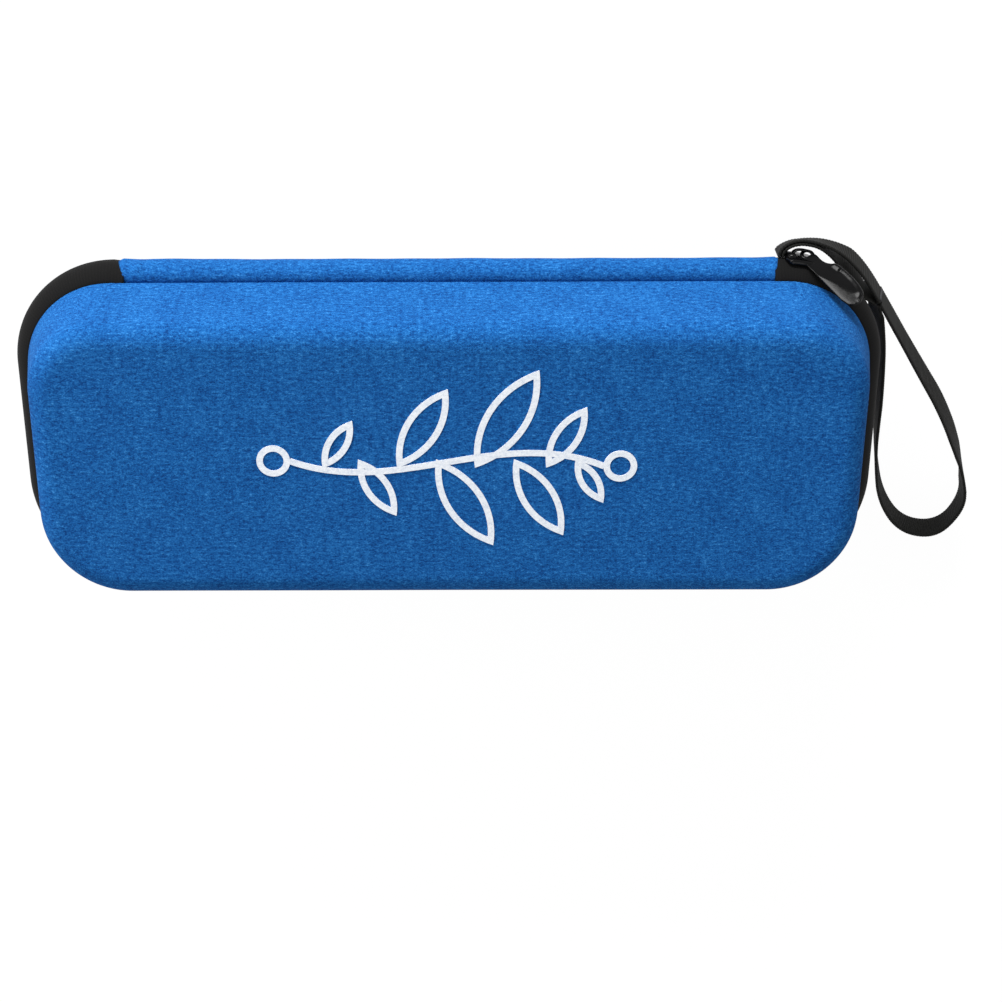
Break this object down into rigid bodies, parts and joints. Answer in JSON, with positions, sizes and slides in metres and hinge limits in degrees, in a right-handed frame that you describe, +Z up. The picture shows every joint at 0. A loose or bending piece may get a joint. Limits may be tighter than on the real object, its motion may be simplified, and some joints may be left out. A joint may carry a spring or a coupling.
{
  "type": "stethoscope hard case",
  "caption": "Long soft-shell zip case that opens like a clam on a fabric hinge and carries a stethoscope, with a wrist strap loop.",
  "frame": {"origin": "middle of the flat back face, on the surface the case lies on", "axes": "+X along the case, the zip slider and wrist strap at the +X end; +Y towards the hinge side; +Z up out of the lid face"},
  "size_m": [0.317, 0.1187, 0.0702],
  "materials": {
    "blue_fabric": "heathered polyester, fine mottled weave",
    "shell_foam": "closed-cell foam",
    "lining_fabric": "matt knitted lining",
    "binding_tape": "woven tape",
    "zip_tape": "flat woven tape",
    "zip_nylon": "nylon coil",
    "strap_webbing": "cross-ribbed nylon webbing",
    "thread": "polyester thread",
    "white_film": "printed film",
    "net": "polyester net",
    "black_zinc": "gloss black enamel"
  },
  "bodies": {
    "rear_half": {"rear_shell_fabric": "blue_fabric", "rear_shell_core": "shell_foam", "rear_shell_lining": "lining_fabric", "rear_rim_binding": "binding_tape", "rear_zip_tape": "zip_tape", "rear_zip_coil": "zip_nylon", "zip_end_stops": "zip_nylon", "hinge_strip_fabric": "blue_fabric", "hinge_strip_foam": "shell_foam", "hinge_strip_lining": "lining_fabric", "strap_root": "strap_webbing", "strap_loop": "strap_webbing", "strap_stitches": "thread"},
    "front_half": {"front_shell_fabric": "blue_fabric", "front_shell_core": "shell_foam", "front_shell_lining": "lining_fabric", "front_rim_binding": "binding_tape", "front_zip_tape": "zip_tape", "front_zip_coil": "zip_nylon", "front_print": "white_film", "pocket_net": "net", "pocket_elastic": "binding_tape", "pocket_hem": "binding_tape"},
    "slider": {"slider_body": "black_zinc", "slider_crown": "black_zinc"},
    "puller": {"zip_puller": "black_zinc"}
  },
  "joints": [
    {"name": "lid_hinge", "type": "hinge", "parent": "rear_half", "child": "front_half", "pos_m": [0, 0.056, 0.035], "axis": [-1, 0, 0], "range_deg": [0, 180], "deforming": ["rear_zip_tape", "rear_zip_coil", "hinge_strip_fabric", "hinge_strip_foam", "hinge_strip_lining", "strap_root", "strap_loop", "strap_stitches"]},
    {"name": "zip_travel", "type": "hinge", "parent": "front_half", "child": "slider", "pos_m": [0.1057, 0.02255, 0.035], "axis": [0, 0, -1], "range_deg": [0, 80]},
    {"name": "puller_lift", "type": "hinge", "parent": "slider", "child": "puller", "pos_m": [0.11169, 0.05833, 0.035], "axis": [-0.7778, -0.2766, 0.5644], "range_deg": [0, 30]}
  ]
}
